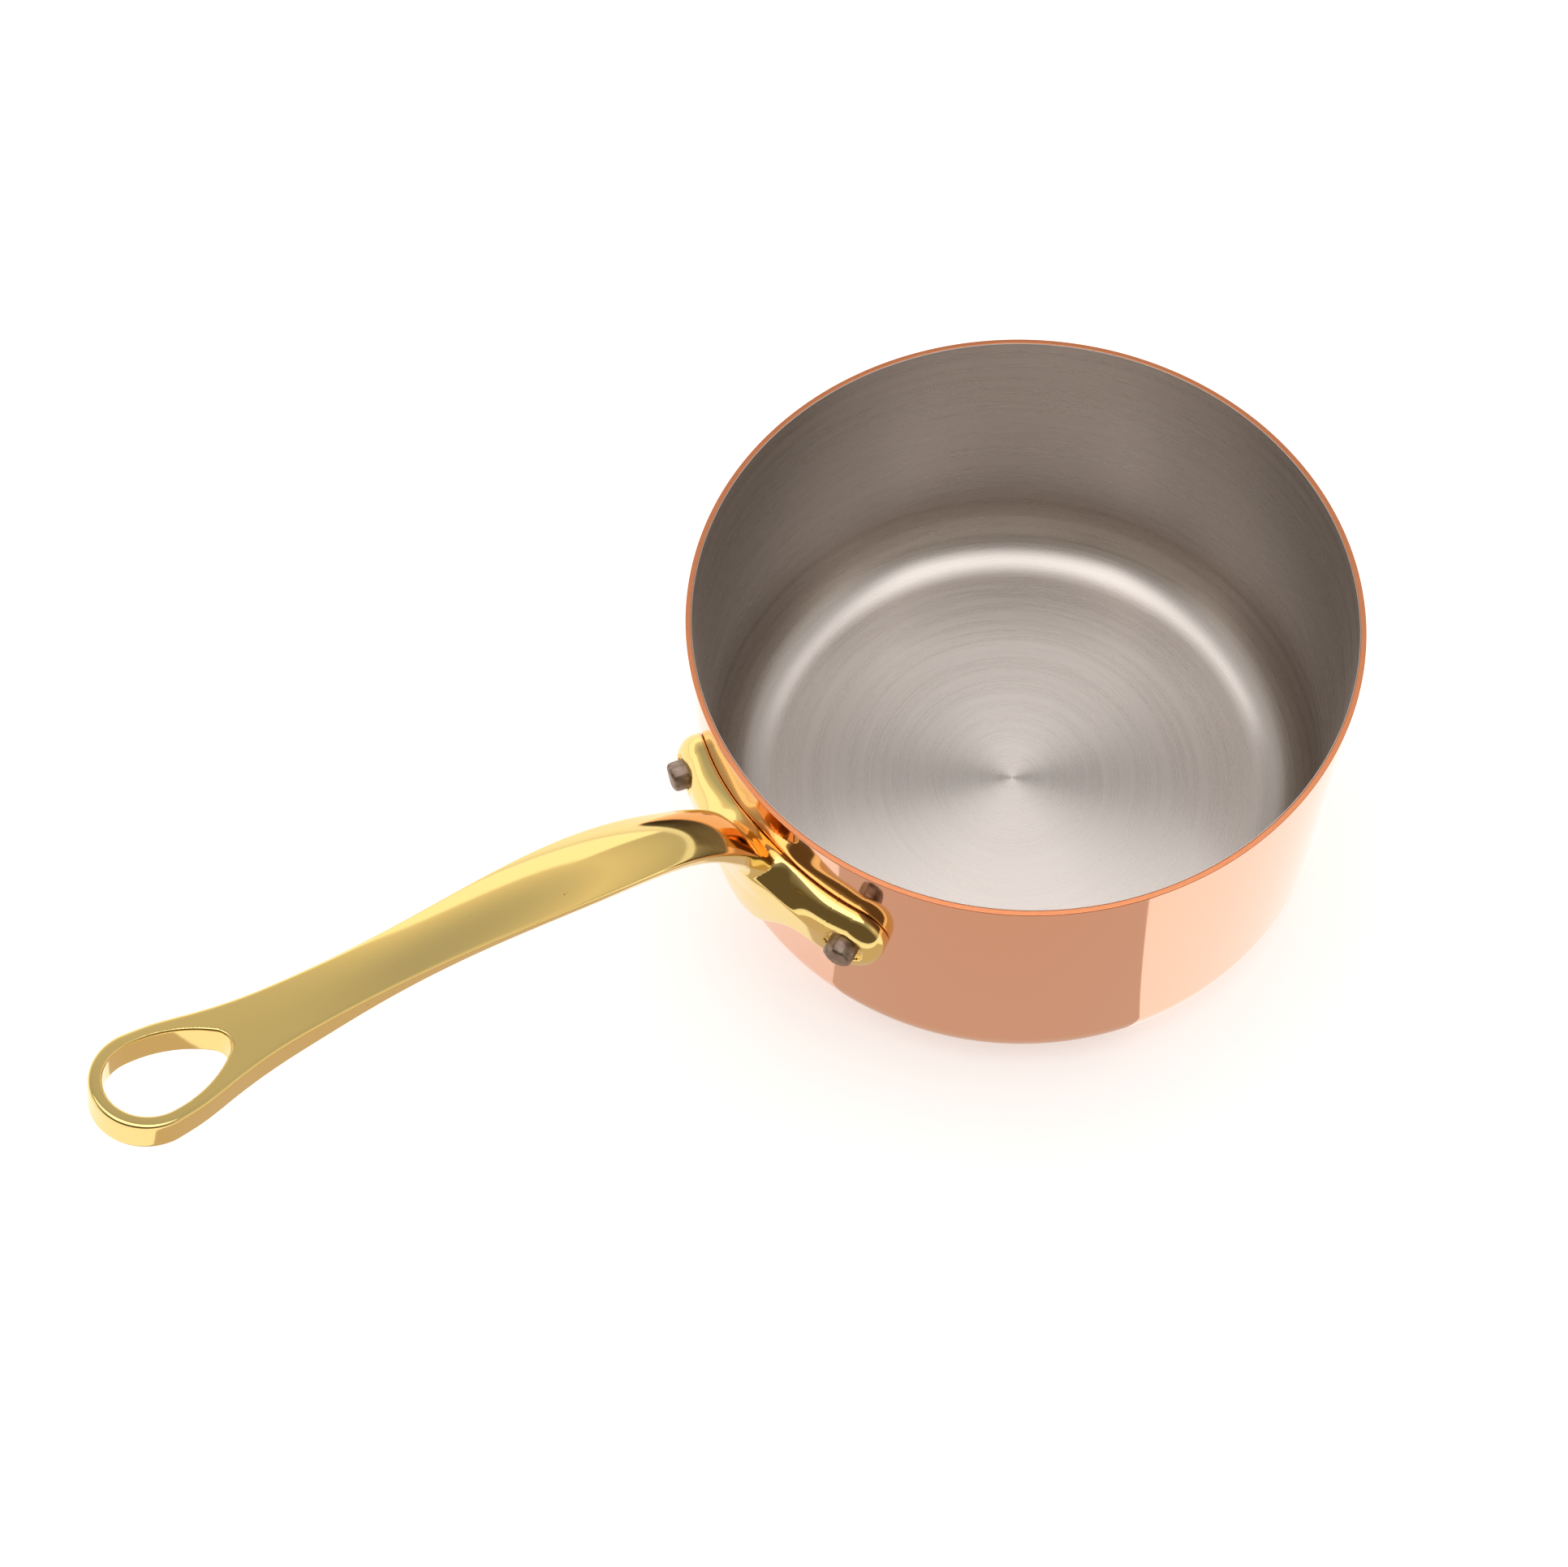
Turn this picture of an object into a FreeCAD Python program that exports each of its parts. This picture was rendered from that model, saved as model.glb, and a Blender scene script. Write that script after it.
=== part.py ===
"""Copper saucepan with a riveted cast brass handle.

Frame: +Z up, millimetres, origin at the centre of the base's underside, handle along -Y.
The pan is a deep-drawn cup of copper with a thin bonded steel lining. The handle is one
casting: a flange that hugs the wall, a neck, a grip and a loop with a teardrop hole. Two
rivets with flat heads inside the pan go through lining, copper and flange.
"""
import FreeCAD, Part
import math
import os
import Sketcher

from FreeCAD import Placement, Rotation, Vector

# ---------------------------------------------------------------- driving dimensions

DIMENSIONS = {
    # pan
    "pan_radius": 80.0,
    "pan_height": 86.5,
    "copper_thickness": 1.3,
    "lining_thickness": 0.2,
    "corner_radius": 16.5,
    # flange of the handle: two lobes, an arm from each and a bulge in the middle
    "flange_thickness": 7.6,
    "flange_top": 70.8,
    "flange_bottom": 41.0,
    "flange_arm_bottom": 52.5,
    "flange_bulge_half": 12.5,
    "lobe_radius": 8.8,
    # rivets
    "rivet_angle": 20.0,
    "rivet_level": 60.0,
    "shank_radius": 3.5,
    "stub_radius": 3.7,
    "stub_end": 90.2,
    "stub_round": 0.8,
    "spotface_radius": 5.0,
    "spotface_depth": 0.9,
    "head_radius": 7.2,
    "head_thickness": 1.5,
    "head_edge": 0.7,
    # flat tail of the handle and the loop at its end
    "tail_tilt": 20.5,
    "tail_thickness": 7.0,
    "loop_reach": 220.0,
    "loop_height": 151.2,
    "loop_radius": 10.9,
    "hole_radius": 8.3,
    "hole_tip_radius": 3.4,
    "hole_tip_offset": 13.3,
}

# Sections of the casting, square to its line, from inside the flange to the stem: reach from
# the pan's axis and height of the upper edges, tilt of the line in degrees, half width, rise
# of the crown over the edges, height of the side faces, how far the sides lean in, and depth
# of the belly below the sides.
SECTION_FIELDS = ("reach", "height", "tilt", "half", "crown", "side", "lean", "belly")
SECTIONS = {
    "root": (82.4, 62.0, 76.0, 6.0, 0.6, 3.4, 0.8, 0.8),
    "foot": (84.6, 74.0, 60.0, 7.4, 1.0, 4.4, 1.0, 2.0),
    "neck": (89.6, 83.6, 54.0, 7.7, 1.4, 3.6, 0.9, 3.0),
    "waist": (99.0, 94.8, 45.0, 7.6, 2.0, 2.6, 0.7, 3.4),
    "shoulder": (110.0, 104.3, 37.0, 8.2, 2.6, 2.4, 0.6, 3.4),
    "hump": (124.0, 113.0, 30.0, 8.6, 2.8, 2.4, 0.6, 3.2),
    "grip": (142.0, 121.7, 23.0, 7.9, 2.2, 2.6, 0.6, 3.0),
    "taper": (158.0, 128.0, 20.5, 6.8, 1.4, 3.0, 0.5, 2.6),
    "stem": (176.0, 134.6, 20.5, 6.2, 0.6, 4.6, 0.3, 1.6),
}

# Sections of the flat tail: distance back from the loop's middle, and half width.
TAIL_FIELDS = ("back", "half")
TAIL_SECTIONS = {
    "tail_start": (33.0, 6.3),
    "tail_root": (22.0, 7.2),
    "tail_flare": (13.0, 8.8),
    "tail_shoulder": (6.0, 10.3),
    "tail_end": (0.0, 10.9),
}
TAIL_CROWN = 0.15
TAIL_LEAN = 0.1

doc = FreeCAD.newDocument("copper_saucepan")


def make_sheet():
    """The spreadsheet of driving dimensions, one alias to a row."""
    sheet = doc.addObject("Spreadsheet::Sheet", "dims")
    rows = dict(DIMENSIONS)
    for table, fields in ((SECTIONS, SECTION_FIELDS), (TAIL_SECTIONS, TAIL_FIELDS)):
        for name, values in table.items():
            for field, value in zip(fields, values):
                rows[name + "_" + field] = value
    for number, (alias, value) in enumerate(rows.items(), start=1):
        sheet.set("A%d" % number, alias)
        sheet.set("B%d" % number, str(value))
        sheet.setAlias("B%d" % number, alias)
    doc.recompute()
    return sheet


dims = make_sheet()


def size(alias):
    """The value of one cell of the sheet."""
    return float(getattr(dims, alias))


# ---------------------------------------------------------------- helpers


def make_body(label):
    """A body whose label names its sub-part and its file."""
    body = doc.addObject("PartDesign::Body", label)
    body.Label = label
    return body


def make_sketch(body, role, name, turn=None, **offsets):
    """A sketch on one of the body's own origin planes, moved and turned in that plane's axes.

    turn is (axis, degrees, expression for the angle); offsets are expressions for x, y and z.
    """
    plane = next(f for f in body.Origin.OriginFeatures if f.Role == role)
    sketch = body.newObject("Sketcher::SketchObject", name)
    sketch.AttachmentSupport = [(plane, "")]
    sketch.MapMode = "FlatFace"
    if turn:
        axis, degrees, angle = turn
        sketch.AttachmentOffset = Placement(Vector(0, 0, 0), Rotation(axis, degrees))
        sketch.setExpression("AttachmentOffset.Rotation.Angle", angle)
    for letter, expression in offsets.items():
        sketch.setExpression("AttachmentOffset.Base." + letter, expression)
    return sketch


def bind(sketch, expression, *constraint):
    """Adds a dimension to a sketch and ties it to the sheet."""
    number = sketch.addConstraint(Sketcher.Constraint(*constraint))
    sketch.setExpression("Constraints[%d]" % number, expression)


def add_loop(sketch, edges, joint="Coincident"):
    """Adds edges head to tail and joins each end to the next start, tangent if asked."""
    numbers = [sketch.addGeometry(edge, False) for edge in edges]
    for here, after in zip(numbers, numbers[1:] + numbers[:1]):
        sketch.addConstraint(Sketcher.Constraint(joint, here, 2, after, 1))
    return numbers


def line(start, end):
    return Part.LineSegment(Vector(*start, 0), Vector(*end, 0))


def arc(start, middle, end):
    return Part.Arc(Vector(*start, 0), Vector(*middle, 0), Vector(*end, 0))


def circle_sketch(body, name, radius, turn=None, **offsets):
    """A circle bound to the sheet, centred on its sketch's origin on the front plane."""
    sketch = make_sketch(body, "XZ_Plane", name, turn, **offsets)
    number = sketch.addGeometry(Part.Circle(Vector(0, 0, 0), Vector(0, 0, 1), 1.0), False)
    sketch.addConstraint(Sketcher.Constraint("Coincident", number, 3, -1, 1))
    bind(sketch, radius, "Radius", number, 1.0)
    return sketch


def feature(body, kind, name, sketch, **settings):
    """A sketch-based feature with its settings and expressions, recomputed."""
    made = body.newObject("PartDesign::" + kind, name)
    made.Profile = sketch
    for key, value in settings.items():
        if isinstance(value, str) and value.startswith("="):
            made.setExpression(key, value[1:])
        else:
            setattr(made, key, value)
    sketch.Visibility = False
    doc.recompute()
    return made


def removed(body, cut):
    """Checks that a cut took material away."""
    before = cut.BaseFeature.Shape.Volume
    after = cut.Shape.Volume
    print("%s: %s took %.1f mm3" % (body.Label, cut.Label, before - after))
    if after > before - 0.01:
        raise RuntimeError(cut.Label + " cut nothing")


def rectangle_sketch(body, name, x0, x1, y0, y1):
    """An upright rectangle on the front plane, its four sides given as expressions."""
    sketch = make_sketch(body, "XZ_Plane", name)
    corners = [(1, 1), (2, 1), (2, 2), (1, 2)]
    edges = [line(a, b) for a, b in zip(corners, corners[1:] + corners[:1])]
    bottom, right, top, left = add_loop(sketch, edges)
    for number, way in ((bottom, "Horizontal"), (top, "Horizontal"), (right, "Vertical"), (left, "Vertical")):
        sketch.addConstraint(Sketcher.Constraint(way, number))
    bind(sketch, x0, "DistanceX", -1, 1, bottom, 1, 1.0)
    bind(sketch, x1, "DistanceX", -1, 1, bottom, 2, 2.0)
    bind(sketch, y0, "DistanceY", -1, 1, bottom, 1, 1.0)
    bind(sketch, y1, "DistanceY", -1, 1, top, 1, 2.0)
    return sketch


def ring_cut(body, name, x0, x1, y0, y1):
    """Cuts a ring about the pan's axis, its section given by expressions."""
    sketch = rectangle_sketch(body, name + "_section", x0, x1, y0, y1)
    cut = feature(body, "Groove", name, sketch, ReferenceAxis=(sketch, ["V_Axis"]), Angle=360.0)
    removed(body, cut)
    return cut


# ---------------------------------------------------------------- pan


def cup_body(label, outer_radius, base_level, thickness, corner):
    """A straight-sided cup revolved about the pan's axis; arguments are sheet expressions."""
    body = make_body(label)
    sketch = make_sketch(body, "XZ_Plane", label + "_section")
    edges = [
        line((0, 0), (50, 0)),
        arc((50, 0), (58, 2), (60, 10)),
        line((60, 10), (60, 70)),
        line((60, 70), (58, 70)),
        line((58, 70), (58, 10)),
        arc((50, 2), (56, 4), (58, 10)),
        line((50, 2), (0, 2)),
        line((0, 2), (0, 0)),
    ]
    numbers = [sketch.addGeometry(edge, False) for edge in edges]
    under, outer_bend, outside, rim, inside, inner_bend, floor, axis = numbers
    joints = (
        ("Tangent", under, 2, outer_bend, 1),
        ("Tangent", outer_bend, 2, outside, 1),
        ("Coincident", outside, 2, rim, 1),
        ("Coincident", rim, 2, inside, 1),
        ("Tangent", inside, 2, inner_bend, 2),
        ("Tangent", inner_bend, 1, floor, 1),
        ("Coincident", floor, 2, axis, 1),
        ("Coincident", axis, 2, under, 1),
    )
    for joint in joints:
        sketch.addConstraint(Sketcher.Constraint(*joint))
    for number in (under, rim, floor):
        sketch.addConstraint(Sketcher.Constraint("Horizontal", number))
    for number in (outside, inside, axis):
        sketch.addConstraint(Sketcher.Constraint("Vertical", number))
    sketch.addConstraint(Sketcher.Constraint("PointOnObject", axis, 2, -2))
    bind(sketch, outer_radius, "DistanceX", axis, 1, outside, 1, 60.0)
    bind(sketch, base_level, "DistanceY", -1, 1, axis, 2, 1.0)
    bind(sketch, "dims.pan_height", "DistanceY", -1, 1, rim, 1, 70.0)
    bind(sketch, thickness, "DistanceX", rim, 2, rim, 1, 2.0)
    bind(sketch, thickness, "DistanceY", axis, 2, axis, 1, 2.0)
    bind(sketch, corner, "Radius", outer_bend, 10.0)
    bind(sketch, "%s - %s" % (corner, thickness), "Radius", inner_bend, 8.0)
    feature(body, "Revolution", label + "_cup", sketch, ReferenceAxis=(sketch, ["V_Axis"]), Angle=360.0)
    rivet_holes(body, "dims.shank_radius", 0)
    return body


def rivet_turn(side):
    """The turn of a front-plane sketch that faces it along a rivet."""
    degrees = side * size("rivet_angle")
    expression = "dims.rivet_angle" if side > 0 else "-dims.rivet_angle"
    return Vector(0, 1, 0), degrees, expression


def rivet_holes(body, radius, start):
    """Two round holes along the rivets, from a given distance outwards; arguments are expressions."""
    for side, word in ((-1, "left"), (1, "right")):
        name = "%s_%s_%s" % (body.Label, word, "seat" if start else "hole")
        offsets = {"y": "dims.rivet_level"}
        sketch = circle_sketch(body, name + "_outline", radius, rivet_turn(side), **offsets)
        if start:
            reach = "%s * cos(dims.rivet_angle)" % start
            across = "%s%s * sin(dims.rivet_angle)" % ("" if side > 0 else "-", start)
            sketch.setExpression("AttachmentOffset.Base.z", reach)
            sketch.setExpression("AttachmentOffset.Base.x", across)
        cut = feature(body, "Pocket", name, sketch, Type="Length", Length=100.0, Reversed=True)
        removed(body, cut)


# ---------------------------------------------------------------- handle


def flange_outline(body):
    """The flange seen from the front: lobe, arm, bulge, arm, lobe and a bowed top edge."""
    sketch = make_sketch(body, "XZ_Plane", "flange_outline", z="dims.pan_radius * 0.7")
    across = (size("pan_radius") + size("flange_thickness")) * math.sin(math.radians(size("rivet_angle")))
    level, lobe = size("rivet_level"), size("lobe_radius")
    half, arm = size("flange_bulge_half"), size("flange_arm_bottom")
    edges = [
        arc((across, level + lobe), (0, size("flange_top")), (-across, level + lobe)),
        arc((-across, level + lobe), (-across - lobe, level), (-across, level - lobe)),
        line((-across, level - lobe), (-half, arm)),
        arc((-half, arm), (0, size("flange_bottom")), (half, arm)),
        line((half, arm), (across, level - lobe)),
        arc((across, level - lobe), (across + lobe, level), (across, level + lobe)),
    ]
    top, left_lobe, left_arm, bulge, right_arm, right_lobe = add_loop(sketch, edges)
    lobe_across = "((dims.pan_radius + dims.flange_thickness) * sin(dims.rivet_angle))"
    for number in (top, bulge):
        sketch.addConstraint(Sketcher.Constraint("Symmetric", number, 1, number, 2, -2))
    sketch.addConstraint(Sketcher.Constraint("Vertical", right_lobe, 1, right_lobe, 2))
    sketch.addConstraint(Sketcher.Constraint("Symmetric", left_lobe, 2, right_lobe, 1, -2))
    bind(sketch, lobe_across, "DistanceX", -1, 1, right_lobe, 1, across)
    bind(sketch, "dims.rivet_level + dims.lobe_radius", "DistanceY", -1, 1, right_lobe, 2, level + lobe)
    bind(sketch, "dims.rivet_level - dims.lobe_radius", "DistanceY", -1, 1, right_lobe, 1, level - lobe)
    for number in (right_lobe, left_lobe):
        sketch.addConstraint(Sketcher.Constraint("Vertical", number, 3, number, 1))
    bind(sketch, "dims.flange_bulge_half", "DistanceX", -1, 1, bulge, 2, half)
    bind(sketch, "dims.flange_arm_bottom", "DistanceY", -1, 1, bulge, 2, arm)
    sag = "(dims.flange_arm_bottom - dims.flange_bottom)"
    bulge_radius = "(dims.flange_bulge_half ^ 2 + %s ^ 2) / (2 * %s)" % (sag, sag)
    bind(sketch, bulge_radius, "Radius", bulge, (half**2 + 132.0) / 23.0)
    rise = "(dims.flange_top - dims.rivet_level - dims.lobe_radius)"
    top_radius = "(%s ^ 2 + %s ^ 2) / (2 * %s)" % (lobe_across, rise, rise)
    bind(sketch, top_radius, "Radius", top, 226.0)
    return sketch


def section_sketch(body, name, tilt, reach, height, half, crown, side, lean, belly):
    """A section of the casting: crowned top, leaning sides and a belly.

    The sketch's origin is midway between the upper edges, and its plane is square to the
    handle's line. Sizes are sheet expressions; the turn needs the tilt's value as well.
    """
    turn = (Vector(1, 0, 0), -float(doc_value(tilt)), "-(%s)" % tilt)
    sketch = make_sketch(body, "XZ_Plane", name + "_section", turn, y=height, z=reach)
    edges = [
        arc((8, 0), (0, 2), (-8, 0)),
        line((-8, 0), (-7, -3)),
        arc((-7, -3), (0, -5), (7, -3)),
        line((7, -3), (8, 0)),
    ]
    top, left, bottom, right = add_loop(sketch, edges)
    sketch.addConstraint(Sketcher.Constraint("Symmetric", top, 1, top, 2, -2))
    sketch.addConstraint(Sketcher.Constraint("Symmetric", bottom, 1, bottom, 2, -2))
    sketch.addConstraint(Sketcher.Constraint("PointOnObject", top, 1, -1))
    bind(sketch, half, "DistanceX", -1, 1, top, 1, 8.0)
    bind(sketch, "%s - %s" % (half, lean), "DistanceX", -1, 1, bottom, 2, 7.0)
    bind(sketch, side, "DistanceY", bottom, 2, -1, 1, 3.0)
    bind(sketch, "((%s) ^ 2 + (%s) ^ 2) / (2 * (%s))" % (half, crown, crown), "Radius", top, 17.0)
    low = "(%s - %s)" % (half, lean)
    bind(sketch, "(%s ^ 2 + (%s) ^ 2) / (2 * (%s))" % (low, belly, belly), "Radius", bottom, 13.25)
    return sketch


def doc_value(expression):
    """The value of a sheet alias or of a plain number given as text."""
    return size(expression[5:]) if expression.startswith("dims.") else float(expression)


def grip_sections(body):
    """Every section of the casting, from inside the flange to the middle of the loop."""
    sketches = []
    for name in SECTIONS:
        cells = {field: "dims.%s_%s" % (name, field) for field in SECTION_FIELDS}
        sketches.append(section_sketch(body, name, **cells))
    for name in TAIL_SECTIONS:
        sketches.append(
            section_sketch(
                body,
                name,
                tilt="dims.tail_tilt",
                reach="dims.loop_reach - dims.%s_back * cos(dims.tail_tilt)" % name,
                height="dims.loop_height - dims.%s_back * sin(dims.tail_tilt)" % name,
                half="dims.%s_half" % name,
                crown=str(TAIL_CROWN),
                side="dims.tail_thickness - %s" % TAIL_CROWN,
                lean=str(TAIL_LEAN),
                belly=str(TAIL_CROWN),
            )
        )
    return sketches


def loop_sketch(body, name):
    """A sketch on the tail's upper face, its origin at the loop's middle and +y towards the pan."""
    tilt = -(90.0 + size("tail_tilt"))
    turn = (Vector(1, 0, 0), tilt, "-(90 + dims.tail_tilt)")
    return make_sketch(body, "XZ_Plane", name, turn, y="dims.loop_height", z="dims.loop_reach")


def loop_disc(body):
    """The round end of the tail."""
    sketch = loop_sketch(body, "loop_outline")
    number = sketch.addGeometry(Part.Circle(Vector(0, 0, 0), Vector(0, 0, 1), 10.0), False)
    sketch.addConstraint(Sketcher.Constraint("Coincident", number, 3, -1, 1))
    bind(sketch, "dims.loop_radius", "Radius", number, 10.0)
    feature(body, "Pad", "loop_end", sketch, Length="=dims.tail_thickness", Reversed=True)


def teardrop_hole(body):
    """The hanging hole: a round end, two long side arcs and a small round tip, all tangent."""
    sketch = loop_sketch(body, "teardrop_outline")
    end, tip, offset = size("hole_radius"), size("hole_tip_radius"), size("hole_tip_offset")
    side = (offset**2 + end**2 - tip**2) / (2 * (end - tip))
    reach = side / math.hypot(side - end, offset)
    touch = (end - side + (side - end) * reach, offset * reach)
    low = -math.atan2(offset * reach, (side - end) * reach) / 2
    flank = (end - side + side * math.cos(low), -side * math.sin(low))
    edges = [
        arc((-end, 0), (0, -end), (end, 0)),
        arc((end, 0), flank, touch),
        arc(touch, (0, offset + tip), (-touch[0], touch[1])),
        arc((-touch[0], touch[1]), (-flank[0], flank[1]), (-end, 0)),
    ]
    round_end, right, round_tip, left = add_loop(sketch, edges, "Tangent")
    sketch.addConstraint(Sketcher.Constraint("Coincident", round_end, 3, -1, 1))
    sketch.addConstraint(Sketcher.Constraint("PointOnObject", round_tip, 3, -2))
    for number in (right, left):
        sketch.addConstraint(Sketcher.Constraint("PointOnObject", number, 3, -1))
    bind(sketch, "dims.hole_radius", "Radius", round_end, end)
    bind(sketch, "dims.hole_tip_radius", "Radius", round_tip, tip)
    bind(sketch, "dims.hole_tip_offset", "DistanceY", -1, 1, round_tip, 3, offset)
    cut = feature(body, "Pocket", "teardrop_hole", sketch, Type="Length", Length=40.0, Midplane=True)
    removed(body, cut)


def make_handle():
    """The casting: flange, then neck, grip and tail as one loft, then loop and holes."""
    body = make_body("handle")
    outline = flange_outline(body)
    feature(body, "Pad", "flange_block", outline, Length=60.0)
    front = "dims.pan_radius + dims.flange_thickness"
    ring_cut(body, "flange_front", front, "dims.pan_radius * 2", "10", "dims.pan_height")
    ring_cut(body, "flange_back", "1", "dims.pan_radius", "10", "dims.pan_height")
    sections = grip_sections(body)
    doc.recompute()
    feature(body, "AdditiveLoft", "neck_and_grip", sections[0], Sections=sections[1:], Ruled=False)
    loop_disc(body)
    teardrop_hole(body)
    rivet_holes(body, "dims.shank_radius", 0)
    seat = "(dims.pan_radius + dims.flange_thickness - dims.spotface_depth)"
    rivet_holes(body, "dims.spotface_radius", seat)
    return body


# ---------------------------------------------------------------- rivets


def head_sketch(body):
    """Half section of the low domed head, on the side plane, its axis along the sketch's x."""
    sketch = make_sketch(body, "YZ_Plane", body.Label + "_head_section", y="dims.rivet_level")
    edges = [
        line((-70, 0), (-79, 0)),
        line((-79, 0), (-79, 7)),
        line((-79, 7), (-78, 7)),
        arc((-70, 0), (-71, 5), (-78, 7)),
    ]
    centre, seat, edge, dome = [sketch.addGeometry(part, False) for part in edges]
    for joint in ((centre, 2, seat, 1), (seat, 2, edge, 1), (edge, 2, dome, 2), (dome, 1, centre, 1)):
        sketch.addConstraint(Sketcher.Constraint("Coincident", *joint))
    sketch.addConstraint(Sketcher.Constraint("PointOnObject", centre, 1, -1))
    sketch.addConstraint(Sketcher.Constraint("PointOnObject", centre, 2, -1))
    sketch.addConstraint(Sketcher.Constraint("Vertical", seat))
    sketch.addConstraint(Sketcher.Constraint("Horizontal", edge))
    bore = "(dims.pan_radius - dims.copper_thickness - dims.lining_thickness)"
    bind(sketch, "dims.pan_radius - dims.copper_thickness", "DistanceX", centre, 2, -1, 1, 79.0)
    bind(sketch, bore + " - dims.head_thickness", "DistanceX", centre, 1, -1, 1, 70.0)
    bind(sketch, bore + " - dims.head_edge", "DistanceX", edge, 2, -1, 1, 78.0)
    bind(sketch, "dims.head_radius", "DistanceY", -1, 1, edge, 2, 7.0)
    dome_rise = "(dims.head_thickness - dims.head_edge)"
    rule = "(dims.head_radius ^ 2 + %s ^ 2) / (2 * %s)" % (dome_rise, dome_rise)
    bind(sketch, rule, "Radius", dome, 30.0)
    return sketch


def make_rivet(label, side):
    """A rivet with its head seated on the lining and its stub proud of the flange."""
    body = make_body(label)
    section = head_sketch(body)
    axis = (section, ["H_Axis"])
    feature(body, "Revolution", label + "_head", section, ReferenceAxis=axis, Angle=360.0)
    bore = "dims.pan_radius - dims.copper_thickness - dims.lining_thickness"
    ring_cut(body, label + "_head_seat", bore, "dims.pan_radius * 2", "10", "dims.pan_height")
    start = "(%s - dims.head_edge)" % bore
    shank = circle_sketch(body, label + "_shank_outline", "dims.shank_radius", y="dims.rivet_level", z=start)
    feature(body, "Pad", label + "_shank", shank, Length="=dims.stub_end - %s - 1" % start)
    seat = "(dims.pan_radius + dims.flange_thickness - dims.spotface_depth)"
    stub = circle_sketch(body, label + "_stub_outline", "dims.stub_radius", y="dims.rivet_level", z=seat)
    pad = feature(body, "Pad", label + "_stub", stub, Length="=dims.stub_end - %s" % seat)
    far = -size("stub_end")
    end_edges = []
    for number, edge in enumerate(pad.Shape.Edges, start=1):
        if abs(edge.BoundBox.YMin - far) < 0.01 and abs(edge.BoundBox.YMax - far) < 0.01:
            end_edges.append("Edge%d" % number)
    fillet = body.newObject("PartDesign::Fillet", label + "_stub_round")
    fillet.Base = (pad, end_edges)
    fillet.setExpression("Radius", "dims.stub_round")
    body.Placement = Placement(Vector(0, 0, 0), Rotation(Vector(0, 0, 1), side * size("rivet_angle")))
    doc.recompute()
    return body


# ---------------------------------------------------------------- assembly and export


def export(bodies):
    """Checks every object and every shape, then writes one STEP file for each sub-part."""
    doc.recompute()
    for item in doc.Objects:
        if "Invalid" in item.State or "Error" in item.State:
            raise RuntimeError("%s failed: %s" % (item.Label, item.State))
    os.makedirs("parts", exist_ok=True)
    for body in bodies:
        shape = body.Shape
        if shape.isNull() or not shape.isValid() or len(shape.Solids) != 1:
            raise RuntimeError(body.Label + " isn't one valid solid")
        box = shape.BoundBox
        print("%s: volume %.1f mm3, %s" % (body.Label, shape.Volume, box))
    for body in bodies:
        body.Shape.exportStep("parts/%s.step" % body.Label)


copper_shell = cup_body(
    "copper_shell",
    outer_radius="dims.pan_radius",
    base_level="0",
    thickness="dims.copper_thickness",
    corner="dims.corner_radius",
)
steel_lining = cup_body(
    "steel_lining",
    outer_radius="dims.pan_radius - dims.copper_thickness",
    base_level="dims.copper_thickness",
    thickness="dims.lining_thickness",
    corner="dims.corner_radius - dims.copper_thickness",
)
handle = make_handle()
rivet_left = make_rivet("rivet_left", -1)
rivet_right = make_rivet("rivet_right", 1)
export([copper_shell, steel_lining, handle, rivet_left, rivet_right])
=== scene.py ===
# %% [markdown]
# # A copper saucepan with a cast brass handle
# The pan is a deep-drawn cup of copper with a thin steel skin bonded to its inside. One brass
# casting makes the flange that hugs the wall, the neck, the grip and the hanging loop, and
# two rivets hold it. The engineering model gives the sizes, and every piece here is drawn
# over it in metres, with finer edges than the working model needs.

import math

import bmesh
import bpy
import numpy as np
from mathutils import Matrix, Vector


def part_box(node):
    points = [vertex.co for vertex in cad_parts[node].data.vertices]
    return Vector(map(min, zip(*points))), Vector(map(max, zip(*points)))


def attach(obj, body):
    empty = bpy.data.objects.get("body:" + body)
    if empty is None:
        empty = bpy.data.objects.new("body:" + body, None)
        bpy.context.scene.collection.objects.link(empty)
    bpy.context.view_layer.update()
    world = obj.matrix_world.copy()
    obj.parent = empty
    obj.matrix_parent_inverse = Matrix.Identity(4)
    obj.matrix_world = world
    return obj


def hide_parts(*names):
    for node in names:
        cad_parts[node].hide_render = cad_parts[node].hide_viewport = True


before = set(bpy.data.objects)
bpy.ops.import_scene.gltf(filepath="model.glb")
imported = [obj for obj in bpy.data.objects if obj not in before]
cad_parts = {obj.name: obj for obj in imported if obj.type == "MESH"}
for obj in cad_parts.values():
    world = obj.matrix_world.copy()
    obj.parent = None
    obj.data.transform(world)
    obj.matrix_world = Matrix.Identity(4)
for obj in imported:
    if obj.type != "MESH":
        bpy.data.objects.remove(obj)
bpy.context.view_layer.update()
MM = 0.001
print("working model:", sorted(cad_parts))

# %% [markdown]
# ## Sizes shared by the pieces
# Radii and heights come from the working model's own boxes, so that the pieces drawn here
# meet it exactly. The rest are the casting's dimensions in millimetres.

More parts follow.
